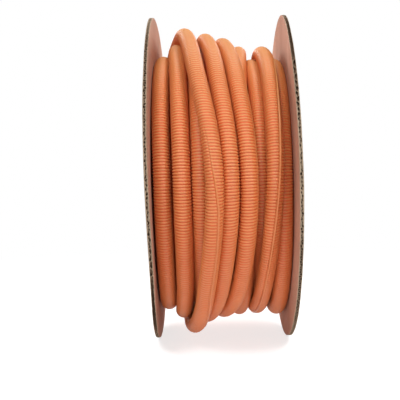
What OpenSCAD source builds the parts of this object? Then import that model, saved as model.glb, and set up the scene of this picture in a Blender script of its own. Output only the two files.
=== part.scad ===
// Reel of split corrugated conduit on a cardboard spool.
// The spool's axle line runs along X, left to right, and the spool stands on
// the rims of its two flanges. Z is up. The origin is under the middle of the
// spool, on the floor.

/* [Flanges] */
// Diameter of each flange disc
flange_d = 320; // [316:1:340]
// Distance between the inner faces of the flanges
flange_gap = 125; // [125:0.5:132]
// Thickness of the corrugated board
board_t = 3.6; // [3:0.2:5]
// Thickness of each flat liner of the board
liner_t = 0.3; // [0.2:0.05:0.5]
// Thickness of the fluted paper between the liners
flute_wall = 0.3; // [0.2:0.05:0.5]
// Distance from one flute to the next
flute_pitch = 5; // [4:0.2:9]
// Slope of the left flange's flutes, above the horizontal, towards the front
left_flute_angle = 43; // [-90:1:90]
// Slope of the right flange's flutes, above the horizontal, towards the front
right_flute_angle = -36; // [-90:1:90]

/* [Core tube] */
// Bore of the paper tube that the reel turns on
core_bore_d = 76; // [70:1:80]
// Outside diameter of the paper tube
core_d = 86; // [82:0.5:88]

/* [Conduit] */
// Outside diameter over the ribs
conduit_d = 16; // [14:0.5:16]
// Inside diameter
conduit_bore_d = 12.7; // [10:0.1:13]
// Width of the lengthwise slit
slit_w = 0.6; // [0.4:0.1:1.5]

/* [Ribs of the conduit's free end] */
// Distance from one rib to the next
rib_pitch = 2.57; // [2.2:0.01:3]
// Thickness of the conduit's wall, which follows the ribs
wall_t = 0.45; // [0.35:0.05:0.6]
// Number of ribs on the straight free end
end_ribs = 16; // [6:1:20]

/* [Inner layers of the winding] */
// Number of turns side by side in one inner layer
inner_turns = 7; // [5:1:7]
// Number of inner layers
inner_layers = 4; // [3:1:4]
// Distance from the axle to the middle of the outermost inner layer
inner_top_r = 94; // [90:0.5:94]
// How far the loose winding sags below the axle
winding_sag = 3; // [0:0.5:3]

/* [Hidden] */

round_steps = 96;
overlap = 1;

axle_z = flange_d / 2;
half_gap = flange_gap / 2;
reel_w = flange_gap + 2 * board_t;

kraft = [0.72, 0.53, 0.42];
orange = [0.87, 0.42, 0.2];

// The outer turns, in the order they were wound. The first row leads in from
// the inner layers, at the back and upper back. Each row after it is one turn,
// with its stations at the top, upper front, front, lower front, bottom, lower
// back, back and upper back. The last one ends at the back, where the free end
// stands straight up from it.
// Place of each station along the axle
turn_x = [
    [-54.1, -54.1],
    [-54.1, -54.1, -52.5, -52, -53.5, -51.5, -48, -45],
    [-42, -37.7, -35, -34.8, -39.5, -36.5, -31.5, -28.5],
    [-26, -21, -18.8, -19.2, -22.5, -16, -9, -2],
    [4, 0, -2.5, -2, -1, 6, 16, 24],
    [31.2, 33.8, 34.3, 36.6, 35, 39, 45, 51.5],
    [54.1, 54.1, 54.1, 54, 53.5, 52, 49, 45.5],
    [42.6, 44.6, 45.4, 38, 33, 33, 31, 26],
    [20.8, 17, 17, 20.8, 16.5, 16, 13.5, 10],
    [3, 13.2, 22.2, 15.3, -2.2, -1, -3.5, -8],
    [-14.2, -4, 6.3, -2.3, -18.5, -17, -21.5, -50],
    [-36.5, -23, -7.2, -16.5, -31, -36, -47.5]
];
// Distance of each station from the axle
turn_r = [
    [110.3, 111.5],
    [114, 116, 118, 121, 125, 124, 125.5, 125.5],
    [125.4, 127, 128, 131, 133.3, 131, 125, 118],
    [114, 124, 126, 124, 120, 116, 113, 112],
    [112, 114, 115.5, 115, 115, 114, 113, 111.5],
    [109.8, 111.3, 112, 112.3, 113.5, 112.5, 111, 110.2],
    [110, 110.8, 111.8, 121.8, 132, 129.5, 127.5, 126.5],
    [122.4, 124.2, 126, 128.5, 130, 129, 128, 128.2],
    [124.2, 113.5, 115, 115.5, 132.5, 132.5, 130.5, 131],
    [131.4, 131, 131, 134, 132.8, 132, 132, 134],
    [135.6, 137, 138, 138, 137.6, 138, 138.5, 143],
    [141, 144, 147, 148, 148, 147.5, 143]
];
// Direction that the slit faces at the top of each whole turn, and where the
// next one would start: 0 is right, 90 away from the axle and 270 towards it
turn_slit = [-90, -90, -90, -90, -90, -80, 15, 240, 375, 330, 180, -190];
stations_x = [for (turn = turn_x) each turn];
stations_r = [for (turn = turn_r) each turn];
stations_per_turn = 8;
lead_in_angle = 360 * len(turn_x[0]) / stations_per_turn;
last_station = len(stations_x) - 1;

// The conduit is drawn as rings of points, and every turn has its rings at
// the same angles, so that neighbouring turns keep their distance.
rings_per_turn = 24;
ring_step = 360 / rings_per_turn;
last_ring = last_station * rings_per_turn / stations_per_turn;
section_steps = 9;
slit_angle = 2 * asin(slit_w / conduit_d);

// Smooth curve through b and c, with a and d as the stations either side
function curve(a, b, c, d, t) =
    b + t / 2 * (c - a + t * (2 * a - 5 * b + 4 * c - d + t * (3 * (b - c) + d - a)));

function station(list, i) = list[max(0, min(last_station, i))];

// Value of a list of stations at one ring of the winding
function along(list, ring) =
    let (s = ring * stations_per_turn / rings_per_turn, i = floor(s))
    curve(station(list, i - 1), station(list, i), station(list, i + 1), station(list, i + 2), s - i);

// Angle of a ring, from 0 at the first whole turn's top towards the front
function angle_at(ring) = ring * ring_step - lead_in_angle;

function slit_at(ring) =
    let (turns = max(0, angle_at(ring) / 360), i = floor(turns))
    turn_slit[i] + (turns - i) * (turn_slit[i + 1] - turn_slit[i]);

// Point of the winding: x along the axle, r away from it, at an angle that
// starts at the top and turns towards the front
function wound(x, r, angle) = [x, -r * sin(angle), axle_z + r * cos(angle)];

// Section of the split tube, as points round the outside and back inside
section = [
    for (k = [0 : section_steps])
        let (a = slit_angle / 2 + k * (360 - slit_angle) / section_steps)
        conduit_d / 2 * [cos(a), sin(a)],
    for (k = [section_steps : -1 : 0])
        let (a = slit_angle / 2 + k * (360 - slit_angle) / section_steps)
        conduit_bore_d / 2 * [cos(a), sin(a)]
];
section_n = len(section);

function turned(p, a) = [p[0] * cos(a) - p[1] * sin(a), p[0] * sin(a) + p[1] * cos(a)];

// The outer turns, as one continuous split tube, plain outside
module conduit() {
    points = [
        for (ring = [0 : last_ring])
            let (x = along(stations_x, ring), r = along(stations_r, ring))
            for (p = section)
                let (q = turned(p, slit_at(ring)))
                wound(x + q[0], r + q[1], angle_at(ring))
    ];
    sides = [
        for (ring = [0 : last_ring - 1], k = [0 : section_n - 1])
            let (here = ring * section_n, there = here + section_n, n = (k + 1) % section_n)
            each [[here + k, here + n, there + n], [here + k, there + n, there + k]]
    ];
    ends = [
        for (k = [0 : section_steps - 1])
            let (inner = section_n - 1 - k, last = last_ring * section_n)
            each [
                [k, inner - 1, k + 1], [k, inner, inner - 1],
                [last + k, last + k + 1, last + inner - 1],
                [last + k, last + inner - 1, last + inner]
            ]
    ];
    color(orange) polyhedron(points, concat(sides, ends));
}

// Ribs along the wall, each given as [share of the pitch, share of the height]
outer_rib = [[0.12, 0], [0.28, 1], [0.72, 1], [0.88, 0]];
inner_rib = [[0.26, 0], [0.4, 1], [0.6, 1], [0.74, 0]];

// Line of ribs between two radii, from one end of the free end to the other
function ribbed_line(rib, groove_r, crest_r) = [
    [groove_r, 0],
    for (i = [0 : end_ribs - 1], p = rib)
        [groove_r + p[1] * (crest_r - groove_r), (i + p[0]) * rib_pitch],
    [groove_r, end_ribs * rib_pitch]
];

function backwards(list) = [for (i = [len(list) - 1 : -1 : 0]) list[i]];

// The free end of the conduit, straight, with its ribs, slit and hollow wall
module conduit_end() {
    bore_r = conduit_bore_d / 2;
    crest_r = conduit_d / 2;
    outside = ribbed_line(outer_rib, bore_r + wall_t, crest_r);
    inside = ribbed_line(inner_rib, bore_r, crest_r - wall_t);
    color(orange)
        translate(wound(along(stations_x, last_ring), along(stations_r, last_ring), angle_at(last_ring)))
            difference() {
                rotate_extrude($fn = round_steps)
                    polygon(concat(outside, backwards(inside)));
                rotate([0, 0, slit_at(last_ring)])
                    translate([0, -slit_w / 2, -overlap])
                        cube([conduit_d, slit_w, end_ribs * rib_pitch + 2 * overlap]);
            }
}

// The layers under the outer turns, as one turned solid with its bore. Its
// turns show as rounds on its ends and on its outside.
module conduit_inner_layers() {
    pitch = (flange_gap - 2 * overlap - conduit_d) / (inner_turns - 1);
    inner_r = core_d / 2 + winding_sag + 1;
    layer_step = (inner_top_r - inner_r - conduit_d / 2) / (inner_layers - 1);
    half_w = pitch * (inner_turns - 1) / 2;
    color(orange)
        translate([0, 0, axle_z - winding_sag])
            rotate([0, 90, 0])
                rotate_extrude($fn = round_steps) {
                translate([inner_r, -half_w])
                    square([inner_top_r - inner_r, 2 * half_w]);
                for (layer = [0 : inner_layers - 1], side = [-1, 1])
                    translate([inner_top_r - layer * layer_step, side * half_w])
                        circle(d = conduit_d, $fn = 32);
                for (turn = [1 : inner_turns - 2])
                    translate([inner_top_r, turn * pitch - half_w])
                        circle(d = conduit_d, $fn = 32);
            }
}

module core_tube() {
    color(kraft)
        translate([-reel_w / 2, 0, axle_z])
            rotate([0, 90, 0])
                difference() {
                    cylinder(d = core_d, h = reel_w, $fn = round_steps);
                    translate([0, 0, -overlap])
                        cylinder(d = core_bore_d, h = reel_w + 2 * overlap, $fn = round_steps);
                }
}

// Channels of the board, seen from the end: wide at one liner and narrow at
// the other, turn about, with the fluted paper left between them
module board_section() {
    flutes = floor((flange_d / 2 - flute_pitch) / flute_pitch);
    rise = board_t - 2 * liner_t - flute_wall;
    wide = 0.36 * flute_pitch;
    narrow = 0.1 * flute_pitch;
    difference() {
        translate([-flange_d / 2 - overlap, 0])
            square([flange_d + 2 * overlap, board_t]);
        for (i = [-flutes : flutes]) {
            translate([i * flute_pitch, liner_t])
                polygon([[-wide, 0], [wide, 0], [narrow, rise], [-narrow, rise]]);
            translate([(i + 0.5) * flute_pitch, board_t - liner_t])
                polygon([[-narrow, -rise], [narrow, -rise], [wide, 0], [-wide, 0]]);
        }
    }
}

// Disc of corrugated board, with its face on the plane through x
module flange(x, flute_angle) {
    translate([x, 0, axle_z])
        rotate([0, 90, 0])
            difference() {
                intersection() {
                    cylinder(d = flange_d, h = board_t, $fn = round_steps);
                    rotate([90, 0, -flute_angle])
                        linear_extrude(flange_d + 2 * overlap, center = true)
                            board_section();
                }
                translate([0, 0, -overlap])
                    cylinder(d = core_d, h = board_t + 2 * overlap, $fn = round_steps);
            }
}

module flange_left() {
    color(kraft) flange(-half_gap - board_t, left_flute_angle);
}

module flange_right() {
    color(kraft) flange(half_gap, right_flute_angle);
}

conduit();
conduit_end();
conduit_inner_layers();
core_tube();
flange_left();
flange_right();
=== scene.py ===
"""Looks of the reel of split corrugated conduit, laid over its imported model."""

import math

import bpy
import numpy as np
from mathutils import Matrix, Vector

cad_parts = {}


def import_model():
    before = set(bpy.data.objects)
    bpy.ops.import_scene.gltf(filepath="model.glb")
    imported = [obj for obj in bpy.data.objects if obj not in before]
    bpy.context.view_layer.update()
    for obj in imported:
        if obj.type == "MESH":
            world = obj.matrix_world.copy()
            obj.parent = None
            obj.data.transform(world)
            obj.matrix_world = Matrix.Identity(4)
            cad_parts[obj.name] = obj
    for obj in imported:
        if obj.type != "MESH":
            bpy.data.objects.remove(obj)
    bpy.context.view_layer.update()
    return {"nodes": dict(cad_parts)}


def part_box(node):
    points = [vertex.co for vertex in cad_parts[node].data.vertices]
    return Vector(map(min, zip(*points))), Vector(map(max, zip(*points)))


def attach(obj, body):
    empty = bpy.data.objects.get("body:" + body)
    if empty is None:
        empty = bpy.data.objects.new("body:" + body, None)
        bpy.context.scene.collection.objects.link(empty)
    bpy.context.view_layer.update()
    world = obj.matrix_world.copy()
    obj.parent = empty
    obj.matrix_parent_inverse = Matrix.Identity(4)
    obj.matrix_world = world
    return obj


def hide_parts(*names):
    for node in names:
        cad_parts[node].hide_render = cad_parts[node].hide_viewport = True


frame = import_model()

MM = 0.001

# ---------------------------------------------------------------- sizes
def corners(node):
    """Lowest and highest corner of a CAD node."""
    return [np.array(corner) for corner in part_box(node)]


left_low, left_high = corners("flange_left")
FLANGE_R = (left_high[2] - left_low[2]) / 2
AXLE_Z = (left_high[2] + left_low[2]) / 2
BOARD_T = left_high[0] - left_low[0]
# Half the distance between the flanges' inner faces
HALF_GAP = corners("flange_right")[0][0]
tube_low, tube_high = corners("core_tube")
TUBE_R = (tube_high[2] - tube_low[2]) / 2

# The board: its liners' and its flutes' paper, the flutes' spacing, and their slope in degrees
LINER_T = 0.3 * MM
FLUTE_WALL = 0.3 * MM
FLUTE_PITCH = 5 * MM
LEFT_FLUTE_ANGLE, RIGHT_FLUTE_ANGLE = 43, -36

# The conduit: radius over its ribs, of its bore and in its grooves, its wall and its ribs' spacing
CONDUIT_R = 8 * MM
BORE_R = 6.35 * MM
WALL_T = 0.45 * MM
GROOVE_R = BORE_R + WALL_T
RIB_PITCH = 2.57 * MM
# Grooves as seen from outside, drawn shallower because light comes through the real thin wall
SOFT_GROOVE_R = 7.28 * MM

# ---------------------------------------------------------------- route of the outer turns
# The same stations as in the part's source, in millimetres: eight to a turn,
# from the top towards the front, after a lead-in of two.
TURN_X = [
    [-54.1, -54.1],
    [-54.1, -54.1, -52.5, -52, -53.5, -51.5, -48, -45],
    [-42, -37.7, -35, -34.8, -39.5, -36.5, -31.5, -28.5],
    [-26, -21, -18.8, -19.2, -22.5, -16, -9, -2],
    [4, 0, -2.5, -2, -1, 6, 16, 24],
    [31.2, 33.8, 34.3, 36.6, 35, 39, 45, 51.5],
    [54.1, 54.1, 54.1, 54, 53.5, 52, 49, 45.5],
    [42.6, 44.6, 45.4, 38, 33, 33, 31, 26],
    [20.8, 17, 17, 20.8, 16.5, 16, 13.5, 10],
    [3, 13.2, 22.2, 15.3, -2.2, -1, -3.5, -8],
    [-14.2, -4, 6.3, -2.3, -18.5, -17, -21.5, -50],
    [-36.5, -23, -7.2, -16.5, -31, -36, -47.5],
]
TURN_R = [
    [110.3, 111.5],
    [114, 116, 118, 121, 125, 124, 125.5, 125.5],
    [125.4, 127, 128, 131, 133.3, 131, 125, 118],
    [114, 124, 126, 124, 120, 116, 113, 112],
    [112, 114, 115.5, 115, 115, 114, 113, 111.5],
    [109.8, 111.3, 112, 112.3, 113.5, 112.5, 111, 110.2],
    [110, 110.8, 111.8, 121.8, 132, 129.5, 127.5, 126.5],
    [122.4, 124.2, 126, 128.5, 130, 129, 128, 128.2],
    [124.2, 113.5, 115, 115.5, 132.5, 132.5, 130.5, 131],
    [131.4, 131, 131, 134, 132.8, 132, 132, 134],
    [135.6, 137, 138, 138, 137.6, 138, 138.5, 143],
    [141, 144, 147, 148, 148, 147.5, 143],
]
# Direction of the slit in degrees from +X, at each of these turns: it twists fastest on the last
TURN_SLIT = [-90, -90, -90, -90, -90, -80, 15, 240, 375, 330, 180, 124, 106, 87, 69, 61, 67, -97.5]
SLIT_TURNS = [0, 1, 2, 3, 4, 5, 6, 7, 8, 9, 10, 10.2, 10.24, 10.26, 10.28, 10.32, 10.37, 10.75]
STATIONS_PER_TURN = 8
LEAD_IN_TURNS = len(TURN_X[0]) / STATIONS_PER_TURN
STATION_X = np.concatenate(TURN_X) * MM
STATION_R = np.concatenate(TURN_R) * MM
LAST_STATION = len(STATION_X) - 1


def smooth(stations, at):
    """Values of a smooth curve through the stations, at fractional stations."""
    at = np.clip(at, 0, LAST_STATION)
    i = np.minimum(at.astype(int), LAST_STATION - 1)
    t = at - i
    a = stations[np.maximum(i - 1, 0)]
    b, c = stations[i], stations[i + 1]
    d = stations[np.minimum(i + 2, LAST_STATION)]
    return b + t / 2 * (c - a + t * (2 * a - 5 * b + 4 * c - d + t * (3 * (b - c) + d - a)))


def turns_at(at):
    """Whole turns wound at a station, from the top of the first whole turn."""
    return at / STATIONS_PER_TURN - LEAD_IN_TURNS


def slit_at(at):
    """Direction that the slit faces at a station, in degrees."""
    return np.interp(turns_at(at), SLIT_TURNS, TURN_SLIT)


def wound(x, r, angle):
    """Point at x along the axle and r from it; the angle runs from the top to the front."""
    return np.stack([x, -r * np.sin(angle), AXLE_Z + r * np.cos(angle)], axis=-1)


# The route in fine steps, to find a place on it from the length wound
STEPS_PER_STATION = 40
FINE = np.linspace(0, LAST_STATION, STEPS_PER_STATION * LAST_STATION + 1)
FINE_POINTS = wound(smooth(STATION_X, FINE), smooth(STATION_R, FINE), 2 * np.pi * turns_at(FINE))
FINE_LENGTH = np.concatenate([[0], np.cumsum(np.linalg.norm(np.diff(FINE_POINTS, axis=0), axis=1))])
WOUND_LENGTH = FINE_LENGTH[-1]


# ---------------------------------------------------------------- meshes
def mesh_object(name, points, faces, materials, slots=None):
    """Object at the origin from points in the frame, with one material or several."""
    mesh = bpy.data.meshes.new(name)
    points = np.asarray(points, dtype=np.float32).reshape(-1, 3)
    faces = np.asarray(faces, dtype=np.int32)
    mesh.vertices.add(len(points))
    mesh.vertices.foreach_set("co", points.ravel())
    mesh.loops.add(faces.size)
    mesh.loops.foreach_set("vertex_index", faces.ravel())
    mesh.polygons.add(len(faces))
    mesh.polygons.foreach_set("loop_start", np.arange(0, faces.size, faces.shape[1], dtype=np.int32))
    for material in materials if isinstance(materials, list) else [materials]:
        mesh.materials.append(material)
    if slots is not None:
        mesh.polygons.foreach_set("material_index", np.asarray(slots, dtype=np.int32))
    mesh.polygons.foreach_set("use_smooth", np.full(len(faces), True))
    mesh.update(calc_edges=True)
    mesh.validate()
    piece = bpy.data.objects.new(name, mesh)
    bpy.context.scene.collection.objects.link(piece)
    return piece


def mark_crests(piece, heights):
    """Keep how high each point stands on its rib, for the conduit's material, which paints shade in the
    grooves from it.
    """
    crest = piece.data.attributes.new("crest", "FLOAT", "POINT")
    crest.data.foreach_set("value", np.asarray(heights, dtype=np.float32).ravel())


def add_piece(name, points, faces, materials, nodes, slots=None):
    """Piece that rides with the reel and takes the place of CAD nodes."""
    piece = mesh_object(name, points, faces, materials, slots)
    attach(piece, "root")
    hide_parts(*nodes)
    return piece


def grid_faces(rows, columns, start=0, close_rows=False, close_columns=False):
    """Quads of a grid of points, rows one after another, wound anticlockwise."""
    row = np.arange(rows if close_rows else rows - 1)
    column = np.arange(columns if close_columns else columns - 1)
    here, beside = np.meshgrid(row, column, indexing="ij")
    below, right = (here + 1) % rows, (beside + 1) % columns
    quads = np.stack([
        here * columns + beside, here * columns + right,
        below * columns + right, below * columns + beside,
    ], axis=-1)
    return quads.reshape(-1, 4) + start


# ---------------------------------------------------------------- materials
def new_material(name):
    """Material, its node tree and its Principled BSDF."""
    material = bpy.data.materials.new(name)
    material.use_nodes = True
    tree = material.node_tree
    shader = next(node for node in tree.nodes if node.type == "BSDF_PRINCIPLED")
    return material, tree, shader


def add_node(tree, kind, inputs=None, **settings):
    """Node with its settings, and its inputs set or fed from another node's output."""
    node = tree.nodes.new(kind)
    for key, value in settings.items():
        setattr(node, key, value)
    for key, value in (inputs or {}).items():
        same_name = [socket for socket in node.inputs if socket.name == key and socket.enabled]
        socket = same_name[0] if same_name else node.inputs[key]
        if isinstance(value, bpy.types.NodeSocket):
            tree.links.new(value, socket)
        else:
            socket.default_value = value
    return node


def noise(tree, place, scale, detail):
    """Value of a noise texture."""
    settings = {"Vector": place, "Scale": scale, "Detail": detail}
    return add_node(tree, "ShaderNodeTexNoise", settings).outputs["Fac"]


def stretched(tree, place, scale):
    """Place scaled along each axis."""
    return add_node(tree, "ShaderNodeMapping", {"Vector": place, "Scale": scale}).outputs["Vector"]


def calculate(tree, operation, a, b):
    """Result of a Math node."""
    return add_node(tree, "ShaderNodeMath", {0: a, 1: b}, operation=operation).outputs["Value"]


def map_range(tree, value, to_min, to_max, from_min=0.0, from_max=1.0):
    """Value carried over from one range to another, and held inside it."""
    return add_node(tree, "ShaderNodeMapRange", {
        "Value": value, "From Min": from_min, "From Max": from_max, "To Min": to_min, "To Max": to_max,
    }).outputs["Result"]


def mix_colours(tree, factor, first, second, blend_type="MIX"):
    """First colour, from a socket, blended by a factor with a fixed second one."""
    mix = add_node(tree, "ShaderNodeMix", {"Factor": factor, "A": first, "B": (*second, 1)},
                   data_type="RGBA", blend_type=blend_type)
    return next(socket for socket in mix.outputs if socket.name == "Result" and socket.enabled)


def fine_relief(tree, shader, height, strength, distance):
    """Bump in a shader's normal, from a height."""
    bump = add_node(tree, "ShaderNodeBump", {"Height": height, "Strength": strength, "Distance": distance})
    tree.links.new(bump.outputs["Normal"], shader.inputs["Normal"])


def colour_ramp(tree, value, stops):
    """Colour ramp over (position, colour) stops, fed by a socket."""
    ramp = add_node(tree, "ShaderNodeValToRGB", {"Fac": value})
    elements = ramp.color_ramp.elements
    while len(elements) < len(stops):
        elements.new(0.5)
    for element, (position, colour) in zip(elements, stops):
        element.position = position
        element.color = (*colour, 1)
    return ramp.outputs["Color"]


def linear(red, green, blue):
    """Linear colour from the usual display values, 0 to 1."""
    return tuple(v / 12.92 if v <= 0.04045 else ((v + 0.055) / 1.055) ** 2.4 for v in (red, green, blue))


# Plastic: clouds between two oranges; a paler, yellower one painted where it faces up, as light from
# above; and a redder one painted in the grooves as their shade, so that the crests read as painted
# highlights
ORANGE_DEEP, ORANGE_PALE = linear(0.90, 0.52, 0.30), linear(0.92, 0.56, 0.34)
ORANGE_PAINTED_TOP_LIGHT, TOP_LIGHT_AMOUNT, TOP_LIGHT_FROM = linear(0.88, 0.66, 0.37), 0.75, -0.1
ORANGE_PAINTED_GROOVE_SHADE, GROOVE_SHADE_AMOUNT = linear(0.91, 0.41, 0.22), 0.9
PLASTIC_ROUGHNESS = (0.36, 0.5)
# Paper: how close its fibres and its streaks lie along X, Y and Z, and the streaks' tint
FIBRE_SCALE = (400.0, 400.0, 130.0)
STREAK_SCALE = (1.0, 26.0, 4.0)
STREAK, STREAK_AMOUNT = linear(0.86, 0.81, 0.78), 0.4
# Dust: cells to a metre, a speck's radius in cells, and the least value of a cell that has one
DUST = linear(0.90, 0.88, 0.86)
DUST_CELLS, DUST_SIZE, DUST_LEAST = 45.0, 0.035, 0.62


def conduit_material():
    """Orange polyethylene: satin, a little cloudy, with light painted where it faces up and shade painted in
    its grooves.
    """
    material, tree, shader = new_material("orange_polyethylene_painted_light_and_shade")
    coordinates = add_node(tree, "ShaderNodeTexCoord")
    place = coordinates.outputs["Object"]
    cloud = noise(tree, place, scale=28.0, detail=3.0)
    orange = colour_ramp(tree, cloud, [(0.3, ORANGE_DEEP), (0.7, ORANGE_PALE)])
    # Painted light: paler and yellower where the surface faces up, as if lit from above; on the ribs' upper
    # flanks this paints highlights
    upward = add_node(tree, "ShaderNodeSeparateXYZ", {0: coordinates.outputs["Normal"]}).outputs["Z"]
    top_light = map_range(tree, upward, 0.0, TOP_LIGHT_AMOUNT, from_min=TOP_LIGHT_FROM)
    top_lit = mix_colours(tree, top_light, orange, ORANGE_PAINTED_TOP_LIGHT)
    # Painted shade: redder and darker down in the grooves between the ribs, which leaves the crests paler as
    # painted highlights
    crest = add_node(tree, "ShaderNodeAttribute", attribute_name="crest").outputs["Fac"]
    groove_shade = map_range(tree, crest, GROOVE_SHADE_AMOUNT, 0.0)
    tree.links.new(mix_colours(tree, groove_shade, top_lit, ORANGE_PAINTED_GROOVE_SHADE), shader.inputs["Base Color"])
    scuff = noise(tree, place, scale=160.0, detail=4.0)
    tree.links.new(map_range(tree, scuff, *PLASTIC_ROUGHNESS), shader.inputs["Roughness"])
    fine_relief(tree, shader, scuff, strength=0.2, distance=0.1 * MM)
    shader.inputs["Specular IOR Level"].default_value = 0.5
    return material


def kraft_material(name, light, dark):
    """Kraft paper: fibres between two colours, faint streaks up and down, and specks of dust."""
    material, tree, shader = new_material(name)
    place = add_node(tree, "ShaderNodeTexCoord").outputs["Object"]
    fibre = noise(tree, stretched(tree, place, FIBRE_SCALE), scale=1.0, detail=5.0)
    blotch = noise(tree, place, scale=14.0, detail=4.0)
    mean = calculate(tree, "MULTIPLY", calculate(tree, "ADD", fibre, blotch), 0.5)
    paper = colour_ramp(tree, mean, [(0.35, dark), (0.65, light)])
    streak = noise(tree, stretched(tree, place, STREAK_SCALE), scale=1.0, detail=1.5)
    shade = map_range(tree, streak, STREAK_AMOUNT, 0.0, from_min=0.35, from_max=0.65)
    streaked = mix_colours(tree, shade, paper, STREAK, "MULTIPLY")
    cell = add_node(tree, "ShaderNodeTexVoronoi", {"Vector": place, "Scale": DUST_CELLS})
    near = calculate(tree, "LESS_THAN", cell.outputs["Distance"], DUST_SIZE)
    chosen = calculate(tree, "GREATER_THAN", cell.outputs["Color"], DUST_LEAST)
    speck = calculate(tree, "MULTIPLY", near, chosen)
    tree.links.new(mix_colours(tree, speck, streaked, DUST), shader.inputs["Base Color"])
    fine_relief(tree, shader, fibre, strength=0.25, distance=0.2 * MM)
    shader.inputs["Roughness"].default_value = 0.85
    shader.inputs["Specular IOR Level"].default_value = 0.25
    return material


ORANGE = conduit_material()
KRAFT = kraft_material("kraft_liner", linear(0.82, 0.65, 0.56), linear(0.76, 0.58, 0.49))
# The flutes and the liners' faces inside the board are the same kraft painted darker, as the shade inside
# the board; the flutes' row at the rim is painted less dark
FLUTE_PAINTED_SHADE = kraft_material("kraft_flute_painted_shade", linear(0.48, 0.38, 0.30), linear(0.36, 0.28, 0.22))
FLUTE_RIM_PAINTED_SHADE = kraft_material("kraft_flute_rim_painted_shade", linear(0.66, 0.56, 0.46), linear(0.50, 0.41, 0.33))
CUT_PAPER = kraft_material("cut_paper", linear(0.78, 0.70, 0.60), linear(0.58, 0.49, 0.40))
TUBE = kraft_material("kraft_tube", linear(0.70, 0.56, 0.44), linear(0.58, 0.45, 0.35))

# ---------------------------------------------------------------- conduit
# Rings of points along one rib, outside and inside the wall: share of the pitch, and height from
# groove to crest
RIB_RINGS = [(0.12, 0.0), (0.28, 1.0), (0.72, 1.0), (0.88, 0.0)]
INNER_RIB_RINGS = [(0.26, 0.0), (0.4, 1.0), (0.6, 1.0), (0.74, 0.0)]
# Columns of points round the section, in degrees from the slit
COLUMNS = np.linspace(18, 339, 17)
# Columns at the slit's edges: degrees, rise, and share of the ribs' height. The ribs run up to the
# edge after the slit, and the edge before it is a smooth lip, a little proud of them.
EDGE_AFTER_SLIT = [(2.1, -1.2 * MM, 1), (3.6, -0.25 * MM, 1), (8.5, 0, 1)]
LIP_BEFORE_SLIT = [(346, 0, 1), (349, 0.15 * MM, 0), (355.5, 0.3 * MM, 0), (357.9, -1.2 * MM, 0)]
# How far the slit and its lip show at each of these turns, from closed at 0 to 1
OPENING_TURNS = [5.5, 5.8, 9.8, 10.0, 10.06, 10.2, 10.27, 10.75]
OPENING = [0.0, 1.0, 1.0, 0.3, 0.0, 0.0, 1.0, 1.0]
# The ribs at the slit's two edges are out of step by up to this share of a pitch, and the step is
# whole once the slit is a third open
SLIT_SLIP = 0.5
SLIP_PER_OPENING = 3
# The free end's slit, as half its width in degrees, and the columns of points round the end
END_SLIT_HALF_ANGLE = 2.2
END_COLUMNS = 41


def section_columns(open_slit):
    """Angles round the section from the slit, in degrees, each with its rise and its ribs' share."""
    plain = [(angle, 0, 1) for angle in COLUMNS]
    if open_slit:
        return np.array(EDGE_AFTER_SLIT + plain + LIP_BEFORE_SLIT).T
    return np.array([(0, 0, 1)] + plain).T


def conduit_stretch(name, start, end, open_slit):
    """Ribbed tube along the route between two lengths, with or without its slit in view."""
    first_rib, last_rib = round(start / RIB_PITCH), round(end / RIB_PITCH)
    share, height = np.array(RIB_RINGS).T
    ribs = np.arange(first_rib, last_rib)
    ring_length = ((ribs[:, None] + share[None, :]) * RIB_PITCH).ravel()
    ring_length = np.append(ring_length, last_rib * RIB_PITCH)
    ring_height = np.append(np.tile(height, len(ribs)), height[0])
    angles, rise, ribbed = section_columns(open_slit)
    opening = np.interp(turns_at(np.interp(ring_length, FINE_LENGTH, FINE)), OPENING_TURNS, OPENING)[:, None]
    slip = np.minimum(SLIP_PER_OPENING * opening, 1) * (angles / 360 - 0.5)[None, :] * SLIT_SLIP * RIB_PITCH
    at = np.interp(np.clip(ring_length[:, None] + slip, 0, WOUND_LENGTH), FINE_LENGTH, FINE)
    facing = np.radians(slit_at(at) + angles[None, :])
    height = 1 - (1 - opening * (1 - ribbed[None, :])) * (1 - ring_height[:, None])
    radius = SOFT_GROOVE_R + (CONDUIT_R - SOFT_GROOVE_R) * height + opening * rise[None, :]
    x = smooth(STATION_X, at) + radius * np.cos(facing)
    r = smooth(STATION_R, at) + radius * np.sin(facing)
    points = wound(x, r, 2 * np.pi * turns_at(at))
    faces = grid_faces(len(ring_length), len(angles), close_columns=True)
    mark_crests(add_piece(name, points, faces[:, ::-1], ORANGE, ["conduit"]), height)


def length_at_turn(turn):
    """Length wound when this many whole turns are on."""
    return float(np.interp((turn + LEAD_IN_TURNS) * STATIONS_PER_TURN, FINE, FINE_LENGTH))


# Turns at which one piece of the winding ends and the next starts; the slit is out of sight before it opens
STRETCH_TURNS = [-LEAD_IN_TURNS, 2, 4, OPENING_TURNS[0], 7.5, 9.5, turns_at(LAST_STATION)]
for number, (first, last) in enumerate(zip(STRETCH_TURNS[:-1], STRETCH_TURNS[1:]), start=1):
    conduit_stretch(
        f"conduit_stretch_{number}", length_at_turn(first), length_at_turn(last),
        open_slit=first >= OPENING_TURNS[0],
    )


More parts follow.
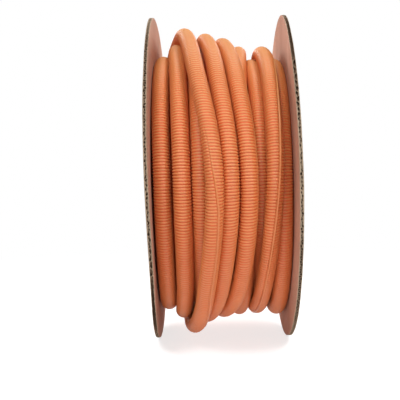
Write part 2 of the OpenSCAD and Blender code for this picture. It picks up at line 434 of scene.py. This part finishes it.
def conduit_end():
    """The straight free end, with the ribs on both sides of its thin wall."""
    low, high = corners("conduit_end")
    middle = (low + high) / 2
    half = math.radians(END_SLIT_HALF_ANGLE)
    around = math.radians(slit_at(LAST_STATION)) + np.linspace(half, 2 * math.pi - half, END_COLUMNS)
    ribs = round((high[2] - low[2]) / RIB_PITCH)
    outside = ribbed_line(RIB_RINGS, SOFT_GROOVE_R, CONDUIT_R, ribs)
    inside = ribbed_line(INNER_RIB_RINGS, BORE_R, CONDUIT_R - WALL_T, ribs)
    line = np.array(outside + inside[::-1] + outside[:1])
    z, radius = line[:, 0], line[:, 1]
    points = np.stack([
        middle[0] + radius[:, None] * np.cos(around)[None, :],
        middle[1] + radius[:, None] * np.sin(around)[None, :],
        np.broadcast_to(low[2] + z[:, None], (len(z), len(around))),
    ], axis=-1)
    height = np.clip((radius - SOFT_GROOVE_R) / (CONDUIT_R - SOFT_GROOVE_R), 0, 1)
    faces = grid_faces(len(z), len(around))
    end = add_piece("conduit_free_end", points, faces, ORANGE, ["conduit_end"])
    mark_crests(end, np.repeat(height, len(around)))


def ribbed_line(rib, groove_r, crest_r, ribs):
    """(Length, radius) pairs along this many ribs, with plain ends."""
    line = [(0.0, groove_r)]
    for i in range(ribs):
        for share, height in rib:
            line.append(((i + share) * RIB_PITCH, groove_r + height * (crest_r - groove_r)))
    return line + [(ribs * RIB_PITCH, groove_r)]


conduit_end()


# ---------------------------------------------------------------- inner layers
# Turns in each hidden layer, the layers, and the room between the tube and the lowest
INNER_TURNS = 7
INNER_LAYERS = 4
INNER_ROOM = 4 * MM
# Angles round one turn's section, 0 facing sideways and 90 outwards: on the body's two sides, and on
# its ribbed rings
SIDE_ARC = np.radians(np.linspace(-60, 60, 7))
RING_ARC = np.radians(np.linspace(-15, 195, 10))
# Steps round the plain body
BODY_STEPS = 96

inner_low, inner_high = corners("conduit_inner_layers")
INNER_Z = (inner_high[2] + inner_low[2]) / 2
# Middle of the turns in the top layer, and of the outermost turns on the two sides
INNER_TOP_R = (inner_high[2] - inner_low[2]) / 2 - CONDUIT_R
INNER_HALF_W = inner_high[0] - CONDUIT_R


def inner_body():
    """The hidden layers as a plain turned body, scalloped by the turns at its two sides."""
    bore_r = TUBE_R + INNER_ROOM
    step = (INNER_TOP_R - bore_r - CONDUIT_R) / (INNER_LAYERS - 1)
    # Out from the bore on the right, over the top, and back on the left
    side = [(INNER_HALF_W, bore_r)]
    for layer in range(INNER_LAYERS):
        r = INNER_TOP_R - (INNER_LAYERS - 1 - layer) * step
        side += [(INNER_HALF_W + GROOVE_R * math.cos(a), r + GROOVE_R * math.sin(a)) for a in SIDE_ARC]
    profile = np.array(side + [(-x, r) for x, r in reversed(side)] + side[:1])
    turn = np.linspace(0, 2 * math.pi, BODY_STEPS + 1)[:-1]
    points = np.stack([
        np.broadcast_to(profile[:, 0][None, :], (len(turn), len(profile))),
        -profile[:, 1][None, :] * np.sin(turn)[:, None],
        INNER_Z + profile[:, 1][None, :] * np.cos(turn)[:, None],
    ], axis=-1)
    faces = grid_faces(len(turn), len(profile), close_rows=True)
    add_piece("conduit_inner_body", points, faces, ORANGE, ["conduit_inner_layers"])


def inner_ribs():
    """Ribbed rings for the turns of the top hidden layer."""
    ribs = round(2 * math.pi * INNER_TOP_R / RIB_PITCH)
    share, height = np.array(RIB_RINGS).T
    turn = ((np.arange(ribs)[:, None] + share[None, :]) / ribs).ravel() * 2 * np.pi
    radius = SOFT_GROOVE_R + (CONDUIT_R - SOFT_GROOVE_R) * np.tile(height, ribs)
    r = INNER_TOP_R + radius[:, None] * np.sin(RING_ARC)[None, :]
    points, faces = [], []
    for x in np.linspace(-INNER_HALF_W, INNER_HALF_W, INNER_TURNS):
        place = np.stack([
            x + radius[:, None] * np.cos(RING_ARC)[None, :],
            -r * np.sin(turn)[:, None],
            INNER_Z + r * np.cos(turn)[:, None],
        ], axis=-1)
        start = sum(map(len, points))
        faces.append(grid_faces(len(turn), len(RING_ARC), start, close_rows=True)[:, ::-1])
        points.append(place.reshape(-1, 3))
    rings = add_piece("conduit_inner_ribs", np.concatenate(points), np.concatenate(faces), ORANGE,
                      ["conduit_inner_layers"])
    mark_crests(rings, np.tile(np.repeat(np.tile(height, ribs), len(RING_ARC)), INNER_TURNS))


inner_body()
inner_ribs()


# ---------------------------------------------------------------- flanges
def rim_noise(angle, seed, waves, steepness):
    """Smooth seeded noise round the rim, about -1 to 1, from a few whole waves."""
    random = np.random.default_rng(seed)
    total = np.zeros_like(angle)
    weight = 0.0
    for wave in waves:
        size = wave ** -steepness
        total += size * np.sin(wave * angle + random.uniform(0, 2 * math.pi))
        weight += size
    return total / weight


def bumps(turn, places):
    """Sum of smooth bumps round the reel.

    Each is given by its middle and its spread, in degrees from the top towards the front, and its height.
    """
    total = 0
    for middle, spread, height in places:
        off = np.degrees(np.angle(np.exp(1j * (turn - math.radians(middle)))))
        total = total + height * np.exp(-(off / spread) ** 2)
    return total


# Rings or rows of points on each paper from the tube to the rim's band, and points round a liner
BOARD_STEPS = 5
LINER_POINTS = 960
# Flutes: steps to a wave, how square it is, how far it is cut back from the rim, and the depth of its
# row at the rim, painted with lighter shade than the flutes further in
FLUTE_STEPS = 12
FLUTE_SQUARENESS = 1.6
FLUTE_SETBACK = 0.15 * MM
FLUTE_RIM_ROW = 1 * MM
# The rim's worn band: its width and how steeply the wear grows across it, the share of the thickness
# that is crushed, how far the board bends in and out, and how ragged its outline is
RIM_BAND = 4 * MM
WEAR_POWER = 2
CRUSH = 0.10
BEND = 0.15 * MM
RAGGED = 0.12 * MM
# How steeply a dent's lean grows from the middle to the rim
DENT_POWER = 4
# A liner's torn fibres hang into the flutes: the least and the most, and how much the noise changes it
FRAY_LEAST, FRAY_MOST = 0.1 * MM, 1.35 * MM
FUZZ = 1.8
# Noise for each use: the number added to the board's seed, its whole waves, and how fast they weaken
FUZZ_WAVES = [83, 131, 197, 263, 331]
RIM_NOISE = {
    "crush": (0, [9, 14, 23, 37, 61], 1.0),
    "bend": (1, [3, 5, 8, 13, 31, 57], 1.0),
    "ragged": (2, [40, 67, 101, 173, 229], 0.2),
    "outer": (5, FUZZ_WAVES, 0.0),
    "inner": (6, FUZZ_WAVES, 0.0),
}
# The papers of a board, by material slot: the liners' outer faces, the cut edges, painted shade inside the
# board, and lighter painted shade on the flutes' row at the rim
PAPERS = [KRAFT, CUT_PAPER, FLUTE_PAINTED_SHADE, FLUTE_RIM_PAINTED_SHADE]
LINER_SLOT, CUT_SLOT, INSIDE_SHADE_SLOT, RIM_HALF_SHADE_SLOT = range(len(PAPERS))


class Board:
    """Disc of corrugated board, drawn in its own plane and set upright at a flange's place.

    v runs along the flutes, u across them and w through the board from its inner face.
    """

    def __init__(self, name, side, flute_angle, seed, dents, frays):
        self.name, self.side, self.seed, self.dents, self.frays = name, side, seed, dents, frays
        slope = math.radians(flute_angle)
        self.along = np.array([0, -math.cos(slope), math.sin(slope)])
        self.across = np.array([0, math.sin(slope), math.cos(slope)])

    def noise(self, use, angle):
        """Noise round the rim for one of the uses in RIM_NOISE."""
        step, waves, steepness = RIM_NOISE[use]
        return rim_noise(angle, self.seed + step, waves, steepness)

    def place(self, u, v, w):
        """Points in the frame, with the rim a little crushed and bent."""
        r = np.hypot(u, v)
        angle = np.arctan2(u, v)
        edge = np.clip((r - (FLANGE_R - RIM_BAND)) / RIM_BAND, 0, 1) ** WEAR_POWER
        shape = u[..., None] * self.across + v[..., None] * self.along
        turn = np.arctan2(-shape[..., 1], shape[..., 2])
        crush = 1 - edge * CRUSH * (1 + self.noise("crush", angle))
        bend = edge * BEND * self.noise("bend", angle)
        w = BOARD_T / 2 + (w - BOARD_T / 2) * crush + bend
        w = np.clip(w, 0, BOARD_T) - bumps(turn, self.dents) * (r / FLANGE_R) ** DENT_POWER
        shape = shape + np.array([0, 0, AXLE_Z])
        shape[..., 0] += self.side * (HALF_GAP + w)
        return shape

    def liner(self, label, low_w, high_w):
        """Flat liner between two depths, as a ring from the tube to the rim."""
        outer = label == "outer"
        turn = np.linspace(0, 2 * math.pi, LINER_POINTS + 1)[:-1]
        rim = FLANGE_R + RAGGED * (self.noise("ragged", turn) - 1)
        shares = np.linspace(0, 1, BOARD_STEPS + 1)
        one_face = [TUBE_R + share * (rim - RIM_BAND - TUBE_R) for share in shares]
        one_face += [rim - RIM_BAND / 2, rim]
        count = len(one_face)
        r = np.stack(one_face + one_face[::-1])
        w = np.array([high_w] * count + [low_w] * count)[:, None] * np.ones_like(r)
        fuzz = 1 + FUZZ * self.noise(label, turn)
        fray = np.clip((FRAY_LEAST + bumps(turn, self.frays)) * fuzz, 0, FRAY_MOST)
        # The face towards the flutes frays at the rim: the low one on the outer liner, else the high one
        w[count if outer else count - 1] += -fray if outer else fray
        points = self.place(r * np.sin(turn), r * np.cos(turn), w)
        faces = grid_faces(len(r), len(turn), close_rows=True, close_columns=True)
        faces = faces if self.side > 0 else faces[:, ::-1]
        rows = np.arange(len(faces)) // len(turn)
        outside = (rows < count - 1) if outer else (rows >= count) & (rows < 2 * count - 1)
        # Faces towards the flutes take the painted shade inside the board
        slots = np.where(rows == count - 1, CUT_SLOT, np.where(outside, LINER_SLOT, INSIDE_SHADE_SLOT))
        self.add(f"{self.name}_{label}_liner", points, faces, slots)

    def flutes(self):
        """Fluted paper between the liners, cut off at the rim and at the tube's hole."""
        count = int(FLANGE_R / FLUTE_PITCH) * FLUTE_STEPS
        u = np.arange(-count, count + 1) * FLUTE_PITCH / FLUTE_STEPS
        u = np.unique(np.concatenate([u, [-TUBE_R, TUBE_R]]))
        swing = (BOARD_T - 2 * LINER_T - FLUTE_WALL) / 2
        wave = np.tanh(FLUTE_SQUARENESS * np.cos(2 * math.pi * u / FLUTE_PITCH))
        middle = BOARD_T / 2 + swing * wave / math.tanh(FLUTE_SQUARENESS)
        slope = np.gradient(middle, u)
        offset = FLUTE_WALL / 2 / np.hypot(1, slope)
        chord = np.sqrt(np.maximum(FLANGE_R ** 2 - u ** 2, 0)) - FLUTE_SETBACK
        hole = np.sqrt(np.maximum(TUBE_R ** 2 - u ** 2, 0))
        # Rows across the cut edge: from the hole to the rim on one face, and back on the other
        one_face = [hole + share * (chord - RIM_BAND - hole) for share in np.linspace(0, 1, BOARD_STEPS + 1)]
        one_face += [chord - FLUTE_RIM_ROW, chord]
        stops = np.stack([np.maximum(stop, hole) for stop in one_face + one_face[::-1]])
        edge_row = len(one_face) - 1
        offset_w = np.array([1] * len(one_face) + [-1] * len(one_face))[:, None] * offset[None, :]
        offset_u = -offset_w * slope[None, :]
        points, faces, slots = [], [], []
        for sign in (-1, 1):
            place = self.place(u[None, :] + offset_u, sign * stops, middle[None, :] + offset_w)
            face = grid_faces(len(stops), len(u), start=sum(map(len, points)))
            faces.append(face if sign * self.side < 0 else face[:, ::-1])
            from_edge = abs(np.arange(len(face)) // (len(u) - 1) - edge_row)
            # The flutes' row next to the cut edge takes the lighter painted shade, and the flutes further in
            # take the darker one
            slots.append(np.select([from_edge == 0, from_edge == 1], [CUT_SLOT, RIM_HALF_SHADE_SLOT], INSIDE_SHADE_SLOT))
            points.append(place.reshape(-1, 3))
        self.add(f"{self.name}_flutes", np.concatenate(points), np.concatenate(faces), np.concatenate(slots))

    def add(self, name, points, faces, slots):
        add_piece(name, points, faces, PAPERS, [self.name], slots)


# Bumps round each rim: where it leans inwards, and where its cut runs along the flutes and frays
LEFT_DENTS = [(118, 32, 2.4 * MM), (-50, 35, 2.4 * MM)]
RIGHT_DENTS = [(45, 40, 1.6 * MM)]
LEFT_FRAYS = [(137, 28, 1.0 * MM), (-43, 28, 1.0 * MM), (25, 30, 0.4 * MM)]
RIGHT_FRAYS = [(36, 28, 1.0 * MM), (-144, 28, 1.0 * MM), (150, 25, 0.4 * MM)]

for board in (
    Board("flange_left", -1, LEFT_FLUTE_ANGLE, seed=11, dents=LEFT_DENTS, frays=LEFT_FRAYS),
    Board("flange_right", 1, RIGHT_FLUTE_ANGLE, seed=29, dents=RIGHT_DENTS, frays=RIGHT_FRAYS),
):
    board.liner("inner", 0.0, LINER_T)
    board.liner("outer", BOARD_T - LINER_T, BOARD_T)
    board.flutes()

# The core tube is right as it stands, and only gets its paper
tube = frame["nodes"]["core_tube"]
tube.data.materials.clear()
tube.data.materials.append(TUBE)


# ---------------------------------------------------------------- floor, light and camera
# The floor as the camera sees it: its grey, the glow that lifts it near to white, and the distances
# from the reel over which it goes over to plain white
FLOOR_SIZE = 12
FLOOR_GREY, FLOOR_LIFT = 0.45, 0.74
FLOOR_NEAR, FLOOR_FAR = 0.3, 0.9
# The floor and the sky as they light the reel
FLOOR_BOUNCE, FLOOR_GLOW = 0.8, 0.2
AMBIENT = 0.18
# Lamps: name, place, width and watts
LAMPS = [
    ("key_left", (-0.42, -1.0, 1.6), 0.5, 11),
    ("key_right", (0.74, -1.0, 1.5), 0.5, 11.5),
    ("front_low", (0.0, -1.4, 0.06), 0.4, 2.4),
    ("left_back", (-0.8, 0.9, 0.9), 0.6, 13),
    ("right_back", (0.8, 0.9, 0.9), 0.6, 11),
]
# Camera level with the axle, a little left of the middle, and nearly square on; turns in radians
CAMERA_PLACE = Vector((-12.8 * MM, -784 * MM, AXLE_Z))
CAMERA_LENS, SENSOR_WIDTH = 69.0, 36
CAMERA_YAW, CAMERA_PITCH, CAMERA_ROLL = -0.0105, 0.029, -0.0199


def grey(level):
    return (level, level, level, 1)


def emission(tree, strength):
    """White glow of a given strength."""
    glow = add_node(tree, "ShaderNodeEmission", {"Color": grey(1), "Strength": strength})
    return glow.outputs["Emission"]


def diffuse(tree, level):
    """Matt grey of a given level."""
    return add_node(tree, "ShaderNodeBsdfDiffuse", {"Color": grey(level)}).outputs["BSDF"]


def add_shaders(tree, first, second):
    return add_node(tree, "ShaderNodeAddShader", {0: first, 1: second}).outputs["Shader"]


def mix_shaders(tree, factor, first, second):
    return add_node(tree, "ShaderNodeMixShader", {0: factor, 1: first, 2: second}).outputs["Shader"]


def floor():
    """Pale floor: white to the camera outside the object's shadow, dimmer as a reflector."""
    bpy.ops.mesh.primitive_plane_add(size=FLOOR_SIZE)
    plane = bpy.context.object
    plane.name = "floor"
    material = bpy.data.materials.new("floor")
    material.use_nodes = True
    tree = material.node_tree
    tree.nodes.clear()
    place = add_node(tree, "ShaderNodeTexCoord").outputs["Object"]
    distance = add_node(tree, "ShaderNodeVectorMath", {0: place}, operation="LENGTH").outputs["Value"]
    far = map_range(tree, distance, 0.0, 1.0, from_min=FLOOR_NEAR, from_max=FLOOR_FAR)
    lifted = add_shaders(tree, diffuse(tree, FLOOR_GREY), emission(tree, FLOOR_LIFT))
    seen = mix_shaders(tree, far, lifted, emission(tree, 1.0))
    bounce = add_shaders(tree, diffuse(tree, FLOOR_BOUNCE), emission(tree, FLOOR_GLOW))
    surface = mix_shaders(tree, seen_ray(tree), bounce, seen)
    add_node(tree, "ShaderNodeOutputMaterial", {"Surface": surface})
    plane.data.materials.append(material)


def seen_ray(tree):
    """1 on rays from the camera and on reflected and transmitted ones, which show the backdrop."""
    path = add_node(tree, "ShaderNodeLightPath").outputs
    both = calculate(tree, "MAXIMUM", path["Is Camera Ray"], path["Is Glossy Ray"])
    return calculate(tree, "MAXIMUM", both, path["Is Transmission Ray"])


def background(tree, strength):
    """White sky of a given strength."""
    sky = add_node(tree, "ShaderNodeBackground", {"Color": grey(1), "Strength": strength})
    return sky.outputs["Background"]


def world():
    """Even pale light all round, seen by the camera as plain white."""
    sky = bpy.data.worlds.new("studio")
    bpy.context.scene.world = sky
    sky.use_nodes = True
    tree = sky.node_tree
    tree.nodes.clear()
    surface = mix_shaders(tree, seen_ray(tree), background(tree, AMBIENT), background(tree, 1.0))
    add_node(tree, "ShaderNodeOutputWorld", {"Surface": surface})


def area_light(name, place, size, watts):
    """Square area light at a place, turned towards the middle of the reel."""
    light = bpy.data.lights.new(name, "AREA")
    light.size = size
    light.energy = watts
    lamp = bpy.data.objects.new(name, light)
    bpy.context.scene.collection.objects.link(lamp)
    lamp.location = place
    aim = Vector((0, 0, AXLE_Z)) - Vector(place)
    lamp.rotation_euler = aim.to_track_quat("-Z", "Y").to_euler()


def camera():
    """Camera that looks along +Y, turned by its yaw, its pitch and its roll."""
    roll, pitch, yaw = (
        Matrix.Rotation(angle, 3, axis)
        for angle, axis in ((CAMERA_ROLL, "Y"), (CAMERA_PITCH, "X"), (CAMERA_YAW, "Z"))
    )
    turn = (roll @ pitch @ yaw).transposed()
    right, forward, up = (turn @ Vector(axis) for axis in ((1, 0, 0), (0, 1, 0), (0, 0, 1)))
    data = bpy.data.cameras.new("camera")
    data.sensor_width = SENSOR_WIDTH
    data.lens = CAMERA_LENS
    eye = bpy.data.objects.new("camera", data)
    bpy.context.scene.collection.objects.link(eye)
    basis = Matrix((right, up, -forward)).transposed()
    eye.matrix_world = Matrix.Translation(CAMERA_PLACE) @ basis.to_4x4()
    bpy.context.scene.camera = eye


floor()
world()
for lamp_settings in LAMPS:
    area_light(*lamp_settings)
camera()
bpy.context.scene.view_settings.view_transform = "Standard"
